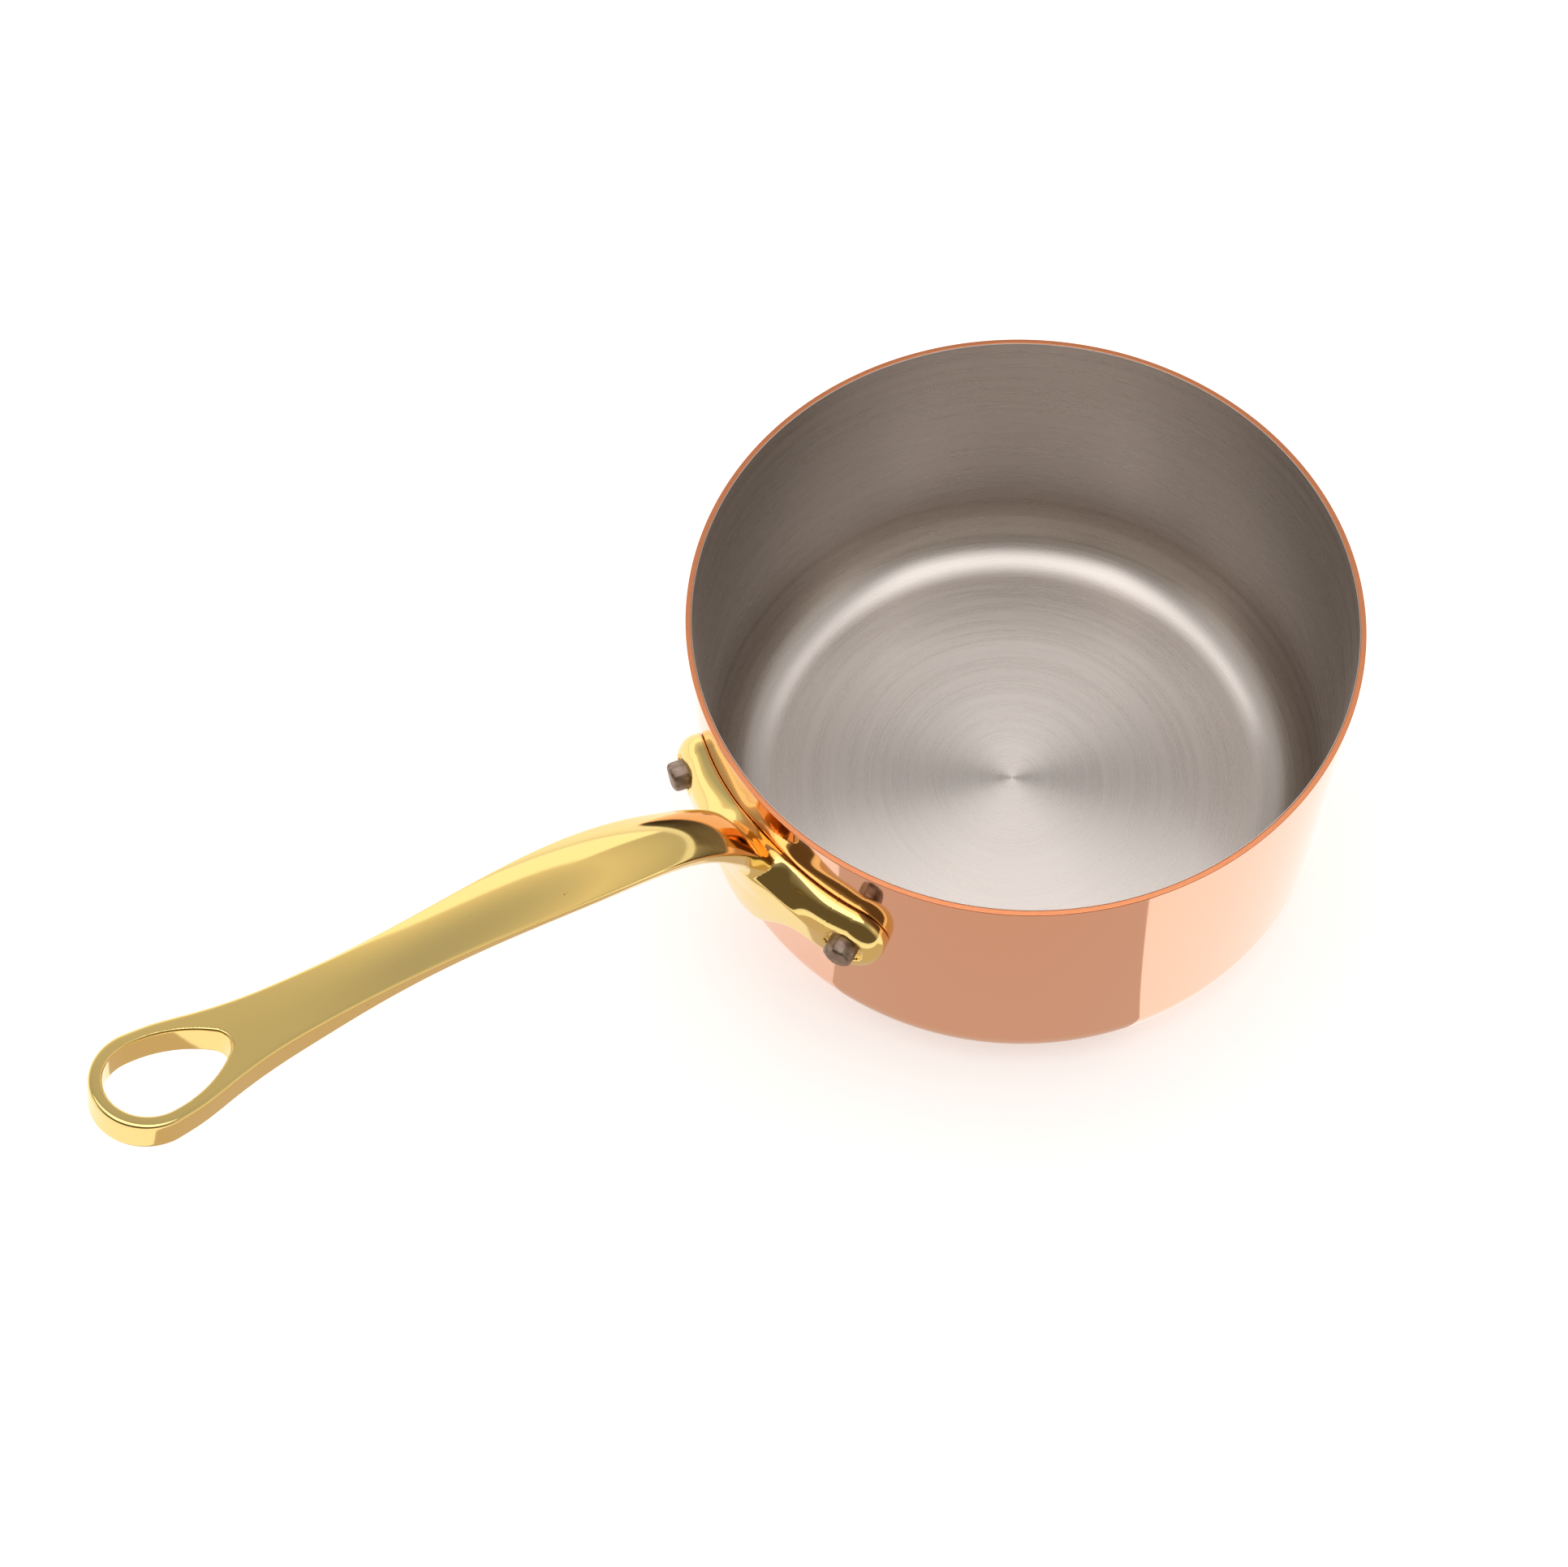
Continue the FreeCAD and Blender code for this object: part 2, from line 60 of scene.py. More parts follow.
# %% Read the pan's sizes
shell_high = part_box("copper_shell")[1]
HAIR = 0.01  # mm that the drawn skin stays inside the working model
PAN_RADIUS = min(shell_high.x, shell_high.y) / MM - HAIR
PAN_HEIGHT = shell_high.z / MM
COPPER, LINING, CORNER = 1.3, 0.2, 16.5  # thickness of both metals, radius of the bottom bend
RIVET_TURN, RIVET_LEVEL = math.radians(20.0), 60.0  # angle from the grip, height
WALL_SKIN = PAN_RADIUS + 0.06  # where the casting's back starts, a joint's width off the wall
print("pan %.2f mm in radius, %.2f mm high" % (PAN_RADIUS, PAN_HEIGHT))

# %% [markdown]
# ## From a grid of points to a mesh
# Every surface below is a grid of points: rows that follow one another along a path or
# around an axis. Neighbouring rows are joined by four-sided faces. Where a row shrinks to
# a point or folds onto itself, its doubled points are merged, which closes the surface.


# %% Number the faces of a grid
def corners(grid, around):
    """The four point numbers of each face of a grid of shape (rows, columns, 3)."""
    rows, columns, _ = grid.shape
    index = np.arange(rows * columns).reshape(rows, columns)
    here = index if around else index[:-1]
    after = np.roll(index, -1, axis=0) if around else index[1:]
    faces = np.stack([here, np.roll(here, -1, 1), np.roll(after, -1, 1), after], axis=-1)
    return faces.reshape(-1, 4)


def outward(grid, around=True):
    """The grid with its columns in the order that makes its faces look outwards.

    The volume inside is the sum over the faces' triangles of p . (q x r) / 6, and it comes
    out negative where the faces look inwards.
    """
    a, b, c, d = np.moveaxis(grid.reshape(-1, 3)[corners(grid, around)], 1, 0)
    volume = (a * np.cross(b, c)).sum() + (a * np.cross(c, d)).sum()
    return grid if volume > 0 else grid[:, ::-1]


# %% Make a mesh from a grid
def grid_piece(name, grid, around=True):
    """A closed surface from points of shape (rows, columns, 3) in mm.

    Face (i, j) joins point (i, j) to (i, j+1), (i+1, j+1) and (i+1, j); columns wrap round,
    and rows wrap too when around is true.
    """
    grid = outward(grid, around)
    mesh = bpy.data.meshes.new(name)
    mesh.from_pydata((grid.reshape(-1, 3) * MM).tolist(), [], corners(grid, around).tolist())
    piece = bpy.data.objects.new(name, mesh)
    bpy.context.scene.collection.objects.link(piece)
    merge_doubles(piece)
    return piece


def merge_doubles(piece, gap=2e-6):
    """Merges points closer than gap metres, drops faces with no area and shades smooth."""
    work = bmesh.new()
    work.from_mesh(piece.data)
    bmesh.ops.remove_doubles(work, verts=work.verts, dist=gap)
    bmesh.ops.dissolve_degenerate(work, edges=work.edges, dist=gap / 4)
    bmesh.ops.delete(work, geom=[e for e in work.edges if not e.link_faces], context="EDGES")
    work.to_mesh(piece.data)
    work.free()
    piece.data.shade_smooth()
    piece.data.update()


def points_of(piece):
    """A piece's points in mm, as an array of shape (points, 3)."""
    points = np.empty(len(piece.data.vertices) * 3)
    piece.data.vertices.foreach_get("co", points)
    return points.reshape(-1, 3) / MM


def describe(piece):
    """Prints a piece's size and how many faces it has."""
    size = np.round(np.ptp(points_of(piece), axis=0), 2)
    print("%s: %d faces, %s mm" % (piece.name, len(piece.data.polygons), size))


# %% [markdown]
# ## Curves used by several pieces
# A smooth line through a few known points is a natural cubic spline: each stretch is a cubic,
# and slope and bend carry over at every point. A polished casting shows any break in the
# bend as a kink in its reflections, so this matters more here than on a dull part.


# %% Splines
def spline(knots, values, at):
    """Natural cubic spline through values (n, k) at knots (n,), evaluated at positions at.

    With the bends M found from the equal slopes at the knots, each stretch of length h is
    (M0 a^3 + M1 b^3) / 6h + (v0 / h - M0 h / 6) a + (v1 / h - M1 h / 6) b, where a and b are
    the distances to its far and near knot.
    """
    knots, values, at = np.asarray(knots, float), np.asarray(values, float), np.asarray(at, float)
    n, step = len(knots), np.diff(knots)
    system, right = np.eye(n), np.zeros_like(values)
    inner = np.arange(1, n - 1)
    system[inner, inner - 1], system[inner, inner + 1] = step[:-1], step[1:]
    system[inner, inner] = 2 * (step[:-1] + step[1:])
    rise = np.diff(values, axis=0) / step.reshape(-1, *[1] * (values.ndim - 1))
    right[1:-1] = 6 * np.diff(rise, axis=0)
    bend = np.linalg.solve(system, right)
    k = np.clip(np.searchsorted(knots, at) - 1, 0, n - 2)
    shape = (-1, *[1] * (values.ndim - 1))
    h = step[k].reshape(shape)
    a, b = (knots[k + 1] - at).reshape(shape), (at - knots[k]).reshape(shape)
    return (
        bend[k] * a**3 / (6 * h)
        + bend[k + 1] * b**3 / (6 * h)
        + (values[k] / h - bend[k] * h / 6) * a
        + (values[k + 1] / h - bend[k + 1] * h / 6) * b
    )


# %% Arcs and evenly spaced outlines
def arc(middle, radius, start, end, count):
    """Points of a circular arc in a plane, from angle start to angle end in degrees."""
    angles = np.radians(np.linspace(start, end, count))
    return np.array(middle) + radius * np.column_stack([np.cos(angles), np.sin(angles)])


def evenly(loop, count, soften=0.0):
    """A closed loop resampled at equal steps of its own length, corners rounded by averaging.

    Each point is averaged with its neighbours by exp(-(distance / soften)^2 / 2), soften in
    mm, as a product of the two Fourier series.
    """
    finer = 4
    total = finer * count
    closed = np.vstack([loop, loop[:1]])
    length = np.concatenate([[0], np.cumsum(np.linalg.norm(np.diff(closed, axis=0), axis=1))])
    fine = np.linspace(0, length[-1], total, endpoint=False)
    points = np.column_stack([np.interp(fine, length, axis) for axis in closed.T])
    if soften:
        step = np.arange(total)
        away = np.minimum(step, total - step) * length[-1] / total
        bell = np.exp(-0.5 * (away / soften) ** 2)
        spectrum = np.fft.rfft(bell / bell.sum())
        points = np.fft.irfft(np.fft.rfft(points, axis=0) * spectrum[:, None], total, axis=0)
    return points[::finer]


# %% [markdown]
# ## The copper cup
# The real cup is drawn from a flat disc, so it is a solid of revolution: a profile turned
# about the pan's axis. Its bends are arcs with many short faces, and each straight run has
# extra points close to its ends, so that the smooth shading of a bend doesn't bleed into
# the long straight wall and bow its reflections.


# %% Turn a profile about the pan's axis
def run(start, end, hold=0.25, gap=5.0):
    """Points of a straight run about gap mm apart, with one point just inside each end."""
    start, end = np.array(start, float), np.array(end, float)
    length = np.linalg.norm(end - start)
    share = min(0.3, hold / length)
    inner = np.linspace(share, 1 - share, max(2, int(length / gap) + 2))
    return start + np.outer(np.concatenate([[0], inner, [1]]), end - start)


def revolved(name, profile, segments=512):
    """Turns a closed profile (radius, height) about +Z: x = r cos a, y = r sin a."""
    apart = np.linalg.norm(profile - np.roll(profile, 1, axis=0), axis=1) > 1e-4
    r, z = profile[apart].T
    turn = np.linspace(0, 2 * np.pi, segments, endpoint=False)
    x, y = np.outer(np.cos(turn), r), np.outer(np.sin(turn), r)
    return grid_piece(name, np.stack([x, y, np.tile(z, (segments, 1))], axis=-1))


# %% Draw the cup
def cup_profile(outside, inside, base, corner, thick, top, edge):
    """Closed section of a cup: base, outer bend, wall, rounded rim, inner wall, bend, floor."""
    bend = (outside - corner, base + corner)
    return np.vstack(
        [
            run((0, base), (bend[0], base)),
            arc(bend, corner, -90, 0, 25),
            run((outside, bend[1]), (outside, top - edge)),
            arc((outside - edge, top - edge), edge, 0, 90, 6),
            run((outside - edge, top), (inside + edge, top), 0.1),
            arc((inside + edge, top - edge), edge, 90, 180, 6),
            run((inside, top - edge), (inside, bend[1])),
            arc(bend, corner - thick, 0, -90, 25),
            run((bend[0], base + thick), (0, base + thick)),
        ]
    )


copper_inside = PAN_RADIUS - COPPER
copper_section = cup_profile(
    PAN_RADIUS, copper_inside, 0.0, CORNER, COPPER, PAN_HEIGHT - HAIR, 0.18
)
copper_cup = revolved("copper_cup", copper_section)
describe(copper_cup)

# %% [markdown]
# ## The steel lining
# The lining follows the cup's inside. It gets a UV map whose first direction runs from the
# middle of the floor out and up the wall, and whose second runs round the pan, because the
# metal was brushed in circles and its shine spreads at right angles to the brush marks.


# %% Draw the lining and mark its brush direction
def brush_map(piece):
    """UV map: U is the way along the section from the centre, V the angle round the axis.

    Angles are measured from each face's own middle, so that no face straddles the jump from
    a full turn back to nothing, and the point on the axis takes its face's angle.
    """
    layer = piece.data.uv_layers.new(name="brushing")
    faces = piece.data.polygons
    loops = np.zeros(len(piece.data.loops), int)
    counts, centres = np.zeros(len(faces), int), np.zeros(len(faces) * 3)
    piece.data.loops.foreach_get("vertex_index", loops)
    faces.foreach_get("loop_total", counts)
    faces.foreach_get("center", centres)
    points = points_of(piece)[loops]
    middle = np.repeat(centres.reshape(-1, 3), counts, axis=0)
    away = np.hypot(points[:, 0], points[:, 1])
    base = np.arctan2(middle[:, 1], middle[:, 0])
    swing = np.arctan2(points[:, 1], points[:, 0]) - base
    swing = np.where(away > 1e-3, np.mod(swing + np.pi, 2 * np.pi) - np.pi, 0)
    along = (away + points[:, 2]) / 200.0  # 200 mm is longer than any way over floor and wall
    round_pan = (base + swing) / (2 * np.pi) + 0.5
    layer.data.foreach_set("uv", np.column_stack([along, round_pan]).ravel())


steel_inside = copper_inside - LINING
steel_section = cup_profile(
    copper_inside, steel_inside, COPPER, CORNER - COPPER, LINING, PAN_HEIGHT - 3 * HAIR, 0.06
)
steel_lining_skin = revolved("steel_skin", steel_section)
brush_map(steel_lining_skin)
describe(steel_lining_skin)

# %% [markdown]
# ## The grip
# The casting rises steeply from the wall, bends over into a crowned hump and runs out as a
# flat tail. It can be drawn as one outline carried along a line: at each station the outline
# has a crowned top, two side faces and a rounded belly. The table gives the line of the top
# edges and the outline's sizes, and splines fill in between.

# %% Sizes of the grip from the wall outwards
# reach from the axis, height, half width, rise of the crown, side face, lean, belly (mm)
GRIP = np.array(
    [
        (82.6, 63.0, 6.0, 0.6, 3.2, 0.8, 0.8),
        (83.7, 70.0, 6.8, 0.9, 3.8, 0.9, 1.5),
        (86.3, 78.0, 7.5, 1.2, 4.0, 1.0, 2.6),
        (89.6, 83.8, 7.7, 1.9, 3.6, 0.9, 3.2),
        (94.2, 89.9, 7.6, 2.2, 3.0, 0.8, 3.5),
        (99.5, 95.6, 7.5, 2.5, 2.7, 0.7, 3.5),
        (110.0, 104.4, 8.1, 2.7, 2.4, 0.6, 3.4),
        (124.0, 113.0, 8.6, 2.8, 2.4, 0.6, 3.2),
        (142.0, 121.6, 7.9, 2.2, 2.6, 0.6, 3.0),
        (158.0, 128.0, 6.8, 1.4, 3.1, 0.5, 2.6),
        (176.0, 134.7, 6.1, 0.6, 4.6, 0.3, 1.6),
        (188.0, 139.2, 6.3, 0.25, 6.0, 0.15, 0.6),
        (199.5, 143.5, 7.2, 0.12, 6.8, 0.1, 0.15),
        (207.8, 146.6, 8.8, 0.1, 6.85, 0.1, 0.1),
        (214.4, 149.1, 10.3, 0.1, 6.85, 0.1, 0.1),
        (220.0, 151.2, 10.9, 0.1, 6.85, 0.1, 0.1),
    ]
)
TAIL_THICK, TAIL_TILT = 7.0, math.radians(20.5)
HOLE_RADIUS, HOLE_TIP, HOLE_OFFSET = 8.3, 3.4, 13.3  # round end, tip, distance between them


# %% One outline of the grip
def outline(half, crown, side, lean, belly):
    """Section points (across, up) from the crown's middle: crown, side, belly, and back.

    With t from 0 in the middle to 1 at the edge, the top is crown (1 - t^2) high and the
    underside lies side + belly (1 - t^2) below the top edges.
    """
    share = np.linspace(0, 1, 31)
    top = np.column_stack([half * share, crown * (1 - share**2)])
    low = half - lean
    under = np.column_stack([low * share[::-1], -side - belly * (1 - share[::-1] ** 2)])
    right = np.vstack([top, under])
    return np.vstack([right, right[-2:0:-1] * (-1, 1)])


# %% Carry the outline along the line
def grip_rows(stations=250, round_rows=40, columns=168, soften=0.42):
    """Rows of the casting from inside the flange to the tip of the loop.

    Up to the middle of the loop a row lies square to the line. Beyond it each row is folded
    about the loop's middle, its two halves turning like the hands of a clock, until they meet
    at the tip.
    """
    knots = np.concatenate([[0], np.cumsum(np.hypot(*np.diff(GRIP[:, :2], axis=0).T))])
    at = np.linspace(0, knots[-1], stations)
    fields = spline(knots, GRIP, at)
    step = spline(knots, GRIP[:, :2], at + 0.01) - spline(knots, GRIP[:, :2], at - 0.01)
    step /= np.linalg.norm(step, axis=1, keepdims=True)
    step[-1] = math.cos(TAIL_TILT), math.sin(TAIL_TILT)
    fold = np.concatenate([np.zeros(stations), np.linspace(0, np.pi / 2, round_rows + 1)[1:]])
    rows = []
    for k, turn in enumerate(fold):
        f, way = fields[min(k, stations - 1)], step[min(k, stations - 1)]
        flat = evenly(outline(*f[2:]), columns, soften)
        across, up = flat[:, 0], flat[:, 1]
        along, across = np.abs(across) * np.sin(turn), across * np.cos(turn)
        reach = f[0] + along * way[0] - up * way[1]
        height = f[1] + along * way[1] + up * way[0]
        rows.append(np.column_stack([across, -reach, height]))
    root = np.broadcast_to(rows[0].mean(0), rows[0].shape)
    return outward(np.array([root] + rows), around=False)


grip_grid = grip_rows()
print("grip grid", grip_grid.shape, "top at %.2f mm" % grip_grid[..., 2].max())

# %% [markdown]
# ## The flange
# The flange is a thick plate wrapped on the wall: a lobe for each rivet, two arms and a bulge
# below the neck. Its upper side is a ledge that starts level under the neck and tips forward
# towards each rivet, with a crease between ledge and front. A row is one upright section,
# from the wall over ledge and front back to the wall. Beyond each rivet the rows fold about
# the rivet's axis, as the grip's rows do at the loop, and make the rounded lobe.

# %% Outline and thickness of the flange
# both edges as (distance along the wall from the middle, height) in mm
LOBE, LOBE_LEVEL = 8.4, 59.6  # radius of a lobe and the height of its middle
LOBE_PLACE = PAN_RADIUS * RIVET_TURN
TOP_EDGE = np.array([(0, 71.0), (5, 70.9), (10.5, 70.1), (18, 69.0), (24, 68.3), (27.93, 68.0)])
LOW_EDGE = np.array(
    [
        *[(0, 40.8), (2.8, 41.5), (5.6, 43.7), (8.4, 47.2), (11.2, 50.5)],
        *[(14, 52.6), (17.5, 53.2), (22, 52.3), (27.93, 51.2)],
    ]
)
SPOT_RADIUS, SPOT_DEPTH = 4.7, 5.9  # the flat seat cut for each rivet


def flange_front(across, level):
    """Thickness in mm of the front: 6.9 + 1.75 exp(-(s/13)^2) - ((z - 58)/17)^2."""
    return 6.9 + 1.75 * np.exp(-((across / 13.0) ** 2)) - ((level - 58.0) / 17.0) ** 2


# %% One upright section of the flange
def flange_row(s, lean, high, base, half_count=130):
    """One closed loop (across, height, thickness) at distance s along the wall.

    lean is the row's fold about the rivet, from 0 on the arms to a quarter turn at the end.
    Going down from the upper edge the thickness grows over the ledge, straight in the middle
    and by a quarter circle towards the lobes; a quarter circle closes the lower edge too.
    """
    end = lean / (np.pi / 2)
    middle = LOBE_LEVEL if lean else (high + base) / 2
    above, below = (LOBE, LOBE) if lean else (high - middle, middle - base)
    level = np.concatenate([np.linspace(above, 0, half_count), np.linspace(0, -below, half_count)])
    x = s + np.abs(level) * math.sin(lean) * (1 if s > 0 else -1)
    z = middle + level * math.cos(lean)
    full = flange_front(x, z)
    dome = np.clip((abs(s) - 8.0) / 16.0, 0, 1)
    dome = max(dome * dome * (3 - 2 * dome), end)
    crease = 70.2 - 0.47 * max(abs(s) - 2.0, 0.0)
    upper = max(high - crease, 0.8) * (1 - end) + 4.5 * end
    lower = 1.6 + 2.9 * end
    start = 1.0 + 0.8 * end
    stop = (full[-1] - 1.6) * (1 - end) + 1.8 * end
    down = np.clip((above - level) / upper, 0, 1)
    rise = (1 - dome) * down + dome * np.sqrt(1 - (1 - down) ** 2)
    back = np.clip((level + below) / lower, 0, 1)
    fall = np.sqrt(1 - (1 - back) ** 2)
    thick = np.minimum(start + (full - start) * rise, stop + (full - stop) * fall)
    from_rivet = np.hypot(np.abs(x) - LOBE_PLACE, z - RIVET_LEVEL)
    thick = np.where(from_rivet < SPOT_RADIUS, np.minimum(thick, SPOT_DEPTH), thick)
    front = np.column_stack([x, z, thick])
    return np.roll(np.vstack([front, front[::-1] * (1, 1, 0)]), -half_count, axis=0)


# %% Wrap the rows on the wall
def flange_rows(arm_rows=150, lobe_rows=36, columns=216, soften=0.3):
    """Rows of the flange from one lobe's end to the other, each a closed loop in space.

    A point s along the wall, z high and t thick goes to the angle s / R and the distance
    R + t from the pan's axis.
    """
    turn = np.linspace(np.pi / 2, 0, lobe_rows, endpoint=False)
    place = np.linspace(-LOBE_PLACE, LOBE_PLACE, arm_rows)
    ends = np.full(lobe_rows, LOBE_PLACE)
    across = np.concatenate([-ends, place, ends])
    fold = np.concatenate([turn, np.zeros(arm_rows), turn[::-1]])
    top = spline(TOP_EDGE[:, 0], TOP_EDGE[:, 1], np.abs(across))
    low = spline(LOW_EDGE[:, 0], LOW_EDGE[:, 1], np.abs(across))
    rows = []
    for loop in map(flange_row, across, fold, top, low):
        angle, radius = loop[:, 0] / PAN_RADIUS, WALL_SKIN + loop[:, 2]
        solid = np.column_stack([radius * np.sin(angle), -radius * np.cos(angle), loop[:, 1]])
        rows.append(evenly(solid, columns, soften))
    return outward(np.array(rows), around=False)


flange_grid = flange_rows()
print("flange grid", flange_grid.shape)

# %% [markdown]
# ## Join grip and flange
# In the mould the neck runs into the flange with a soft fillet. Each of the two skins is
# pushed outwards where it comes near the other one, by a quarter of the fillet's width at
# the seam and less further off. Both then reach the seam with the same slope, so the union
# of the two solids shows no hard line.


# %% Measure from one skin to the other
def grid_normals(grid):
    """Unit normals of a closed grid from the cross product of its two directions."""
    along = np.gradient(grid, axis=0)
    round_way = np.roll(grid, -1, axis=1) - np.roll(grid, 1, axis=1)
    normal = np.cross(round_way, along)
    return normal / np.maximum(np.linalg.norm(normal, axis=2, keepdims=True), 1e-9)


def distance_to(points, other, normals):
    """Distance d from each point to the other skin.

    The nearest point q has the least |q|^2 - 2 p . q. Closer than 2 mm, d is measured along
    q's normal, |(p - q) . n|, so that the grid's own spacing doesn't show; else it is |p - q|.
    """
    found, size, batch = [], (other**2).sum(1), 400
    for block in np.array_split(points, max(1, math.ceil(len(points) / batch))):
        nearest = np.argmin(size - 2 * block @ other.T, axis=1)
        gap = block - other[nearest]
        plane, straight = np.abs((gap * normals[nearest]).sum(1)), np.linalg.norm(gap, axis=1)
        found.append(np.where(straight < 2.0, plane, straight))
    return np.concatenate(found)


# %% Swell both skins where they meet
def within(points, target, width):
    """The numbers of the points that lie in the target's box grown by width."""
    inside = (points > target.min(0) - width) & (points < target.max(0) + width)
    return np.nonzero(np.all(inside, axis=1))[0]


def swell(grid, other, width):
    """Pushes a skin out along its normals by width/4 (1 - d/width)^2 near the other one.

    Nothing is pushed through the pan's wall: points keep at least WALL_SKIN from the axis.
    """
    normal, other_normal = grid_normals(grid), grid_normals(other)
    points, target = grid.reshape(-1, 3), other.reshape(-1, 3)
    near, aim = within(points, target, width), within(target, points, width)
    gap = distance_to(points[near], target[aim], other_normal.reshape(-1, 3)[aim])
    push = width / 4 * np.clip(1 - gap / width, 0, 1) ** 2
    moved = points.copy()
    moved[near] += normal.reshape(-1, 3)[near] * push[:, None]
    away = np.hypot(moved[:, 0], moved[:, 1])
    moved[:, :2] *= (np.maximum(away, WALL_SKIN) / away)[:, None]
    return moved.reshape(grid.shape)


FILLET = 6.0
joined_grip = swell(grip_grid, flange_grid, FILLET)
joined_flange = swell(flange_grid, grip_grid, FILLET)
grip_piece = grid_piece("brass_handle", joined_grip, around=False)
flange_piece = grid_piece("flange_part", joined_flange, around=False)
describe(grip_piece)
describe(flange_piece)


# %% Unite two solids
def combine(piece, other, operation):
    """Applies a boolean of piece with other, then removes other."""
    change = piece.modifiers.new(operation.lower(), "BOOLEAN")
    change.operation, change.object, change.solver = operation, other, "MANIFOLD"
    bpy.context.view_layer.update()
    solved = piece.evaluated_get(bpy.context.evaluated_depsgraph_get())
    made = bpy.data.meshes.new_from_object(solved)
    piece.modifiers.clear()
    piece.data = made
    bpy.data.objects.remove(other)
    merge_doubles(piece)


# %% [markdown]
# ## The hanging hole
# The hole is a teardrop: a big round end, a small tip towards the pan, and two long arcs
# that touch both. The real edge is broken by polishing, so the plug that cuts the hole
# flares at both faces.


# %% Draw the hole's plug
def teardrop(grow=0.0):
    """The hole's outline (towards the pan, across): round end, side arcs and a small tip.

    A side arc of radius S touches both circles from outside them, which needs
    S = (offset^2 + R^2 - tip^2) / (2 (R - tip)), its middle S - R below the axis.
    """
    side = (HOLE_OFFSET**2 + HOLE_RADIUS**2 - HOLE_TIP**2) / (2 * (HOLE_RADIUS - HOLE_TIP))
    drop = side - HOLE_RADIUS
    touch = math.degrees(math.atan2(drop, HOLE_OFFSET))
    return np.vstack(
        [
            arc((0, 0), HOLE_RADIUS + grow, 90, 270, 60)[:-1],
            arc((0, drop), side + grow, -90, -touch, 30)[:-1],
            arc((HOLE_OFFSET, 0), HOLE_TIP + grow, -touch, touch, 24)[:-1],
            arc((0, -drop), side + grow, touch, 90, 30)[:-1],
        ]
    )


def hole_plug(edge=0.6):
    """The solid that cuts the hole: straight through the middle, flared at both faces.

    The flare is the quarter circle edge - sqrt(edge^2 - h^2), which leaves a rounded lip.
    """
    climb = edge * np.sin(np.radians(np.linspace(0, 78, 8)))
    flare = edge - np.sqrt(edge**2 - climb**2)
    high, low = 0.1 - edge + climb, -TAIL_THICK + 0.05 + edge - climb
    clear = [1.6, 1.6]  # the plug's flat ends stand this far off both faces of the tail
    up = np.concatenate([clear, high[::-1], low, np.negative(clear) - TAIL_THICK])
    grow = np.concatenate([[2.0, 2.0], flare[::-1], flare, [2.0, 2.0]])
    rows = []
    for height, more in zip(up, grow):
        toward, across = teardrop(more).T
        reach = GRIP[-1, 0] - toward * math.cos(TAIL_TILT) - height * math.sin(TAIL_TILT)
        level = GRIP[-1, 1] - toward * math.sin(TAIL_TILT) + height * math.cos(TAIL_TILT)
        rows.append(np.column_stack([across, -reach, level]))
    rows[0] = np.broadcast_to(rows[1].mean(0), rows[1].shape)
    rows[-1] = np.broadcast_to(rows[-2].mean(0), rows[-2].shape)
    return grid_piece("hole_plug", np.array(rows), around=False)


# %% Cut and close the casting
handle_piece = grip_piece
combine(handle_piece, flange_piece, "UNION")
combine(handle_piece, hole_plug(), "DIFFERENCE")
describe(handle_piece)

# %% [markdown]
# ## The rivets
# A rivet is a short bar with a flat dome inside the pan. Its outer end stands out of the
# flange as a stub whose edge was beaten round, so it isn't quite a cylinder: a few flats run
# along it and its end has shallow hammer marks.


